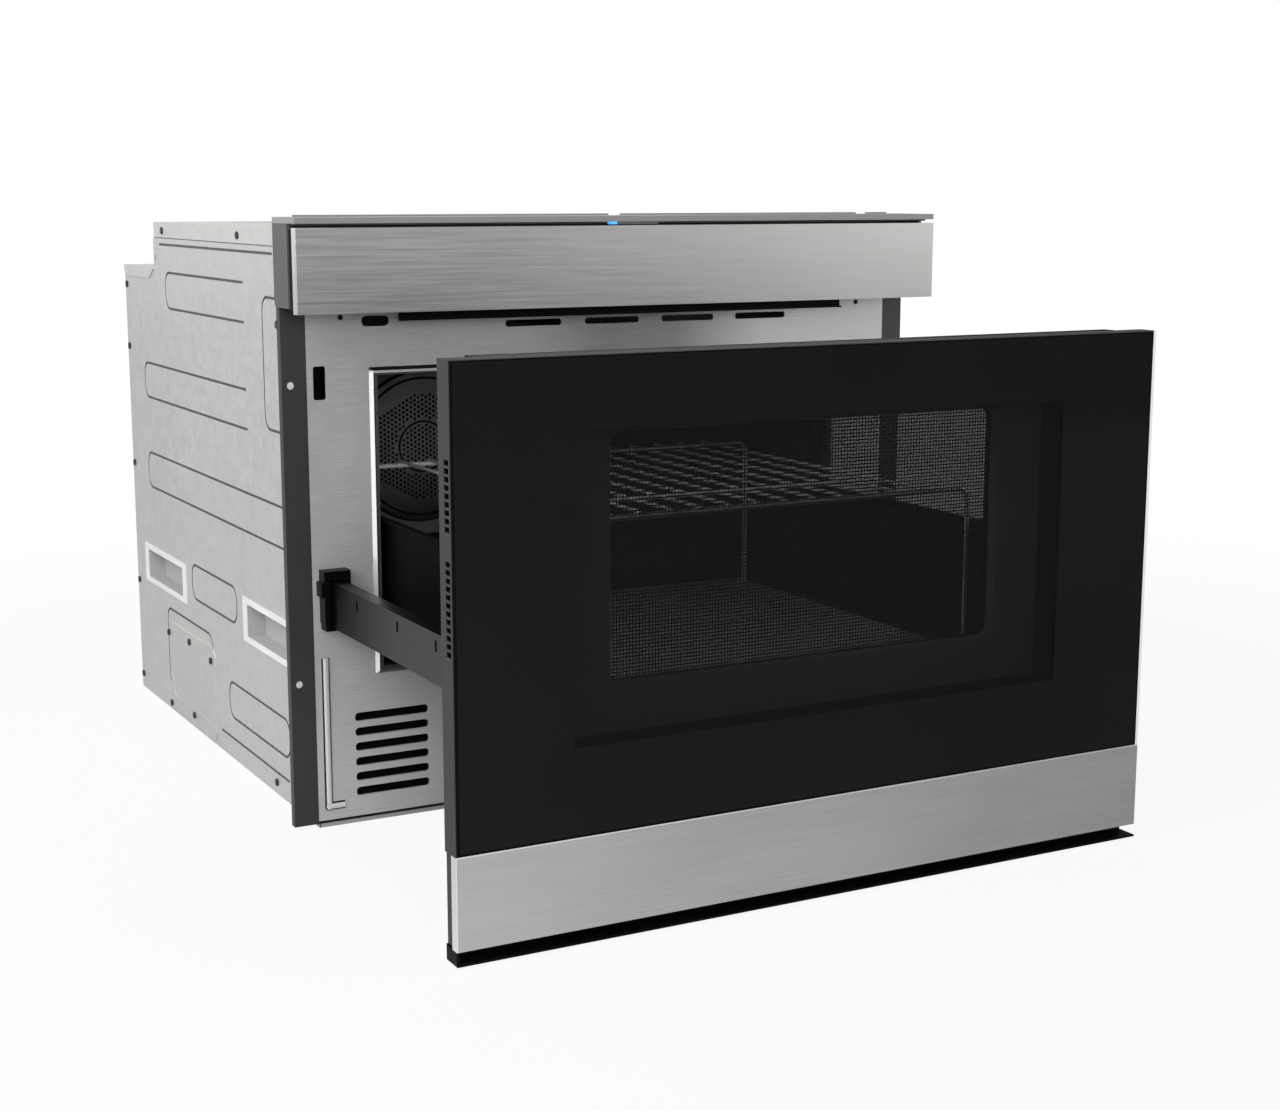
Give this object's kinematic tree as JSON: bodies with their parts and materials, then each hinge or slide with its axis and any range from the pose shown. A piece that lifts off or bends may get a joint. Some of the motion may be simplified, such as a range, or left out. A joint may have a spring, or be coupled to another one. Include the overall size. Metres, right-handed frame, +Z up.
{
  "type": "built-in microwave drawer",
  "caption": "Built-in oven drawer: steel case and cavity, motor-driven drawer with glass door, pan and wire rack, tilting control strip.",
  "frame": {"origin": "on the shelf, in the plane of the cabinet face, in the middle of the oven's width", "axes": "+X to the user's right, +Y back into the cabinet, +Z up"},
  "size_m": [0.6064, 0.912, 0.5074],
  "materials": {
    "galvanised": "zinc-coated sheet, satin",
    "frame_steel": "horizontal brushed stainless sheet",
    "panel_steel": "horizontal brushed stainless sheet",
    "strip_dark": "dark grey satin paint",
    "housing_dark": "dark grey moulded plastic",
    "black_plastic": "black moulded plastic",
    "black_metal": "black satin enamel",
    "trim_black": "gloss black trim",
    "door_side": "dark grey door frame",
    "cavity_enamel": "dark grey satin enamel",
    "rim_steel": "satin steel",
    "zinc": "zinc-plated steel",
    "rail_steel": "satin slide section",
    "carriage_steel": "satin slide section",
    "door_glass": "dark tinted glass",
    "clear_glass": "clear glass",
    "screen": "black perforated sheet",
    "pan_dark": "black enamelled pan",
    "cover_enamel": "grey satin enamel",
    "ceramic": "pale ceramic glass",
    "wire": "bright wire",
    "white_plastic": "white moulded plastic",
    "aluminium": "plain aluminium",
    "magnetron": "zinc-plated frame and fins",
    "circuit": "green circuit board with parts",
    "heater": "dark heating rod",
    "lens": "smoked lens",
    "led": "blue indicator",
    "rack_nylon": "dark nylon",
    "touch_glass": "black glass"
  },
  "bodies": {
    "oven": {"access_cover": "galvanised", "air_deflector": "black_metal", "antenna_motor": "zinc", "base_pan": "galvanised", "blower_housing": "black_plastic", "blower_motor": "zinc", "case_screws": "zinc", "cavity_liner": "cavity_enamel", "cavity_rim": "rim_steel", "control_board": "circuit", "control_housing": "housing_dark", "convection_motor": "zinc", "convection_pot": "galvanised", "drive_gearmotor": "zinc", "fan_cover": "cover_enamel", "fixed_rails": "zinc", "front_frame": "frame_steel", "guide_brackets": "black_plastic", "handle_cups": "white_plastic", "heater_ring": "heater", "housing_caps": "housing_dark", "interlock_switches": "black_plastic", "inverter_board": "circuit", "magnetron": "magnetron", "rear_panel": "galvanised", "rear_step": "galvanised", "sensor_lens": "lens", "side_panel_left": "galvanised", "side_panel_right": "galvanised", "status_led": "led", "terminal_box": "black_plastic", "top_cover": "galvanised", "top_trim": "trim_black", "trim_strip_left": "strip_dark", "trim_strip_right": "strip_dark", "waveguide": "galvanised"},
    "drawer": {"door_back": "black_metal", "door_frame": "door_side", "door_glass": "door_glass", "door_lip": "black_metal", "door_strip": "panel_steel", "drawer_pan": "pan_dark", "drawer_rail_left": "rail_steel", "drawer_rail_right": "rail_steel", "drive_rack": "rack_nylon", "inner_glass": "clear_glass", "latch_hooks": "white_plastic", "window_mask": "black_metal", "window_mesh": "screen", "ceramic_tray": "ceramic"},
    "slide_carriages": {"slide_carriages": "carriage_steel"},
    "drive_pinion": {"drive_pinion": "rack_nylon"},
    "control_panel": {"control_fascia": "panel_steel", "control_panel_body": "black_plastic", "touch_glass": "touch_glass"},
    "convection_fan": {"convection_fan": "aluminium"},
    "blower_wheel": {"blower_wheel": "white_plastic"},
    "antenna": {"antenna": "aluminium"},
    "wire_rack": {"wire_rack": "wire"}
  },
  "joints": [
    {"name": "drawer_slide", "type": "slide", "parent": "oven", "child": "drawer", "axis": [0, -1, 0], "range_m": [-0.2964, 0.0846]},
    {"name": "carriage_slide", "type": "slide", "parent": "oven", "child": "slide_carriages", "axis": [0, -1, 0], "range_m": [-0.1484, 0.0425]},
    {"name": "pinion_spin", "type": "hinge", "parent": "oven", "child": "drive_pinion", "pos_m": [0, 0.03, 0.162], "axis": [1, 0, 0], "range_deg": [-1262, 364]},
    {"name": "panel_tilt", "type": "hinge", "parent": "oven", "child": "control_panel", "pos_m": [0, -0.05, 0.437], "axis": [1, 0, 0], "range_deg": [0, 45]},
    {"name": "convection_fan_spin", "type": "hinge", "parent": "oven", "child": "convection_fan", "pos_m": [0, 0.48, 0.257], "axis": [0, 1, 0], "continuous": true},
    {"name": "blower_spin", "type": "hinge", "parent": "oven", "child": "blower_wheel", "pos_m": [-0.22, 0.125, 0.064], "axis": [1, 0, 0], "continuous": true},
    {"name": "antenna_spin", "type": "hinge", "parent": "oven", "child": "antenna", "pos_m": [0, 0.215, 0.12], "axis": [0, 0, 1], "continuous": true},
    {"name": "rack_lift", "type": "slide", "parent": "drawer", "child": "wire_rack", "axis": [0, 0, 1], "range_m": [0, 0.085]}
  ],
  "couplings": [
    {"joint": "carriage_slide", "follows": "drawer_slide", "ratio": 0.5},
    {"joint": "pinion_spin", "follows": "drawer_slide", "rad_per_m": 74.074}
  ]
}
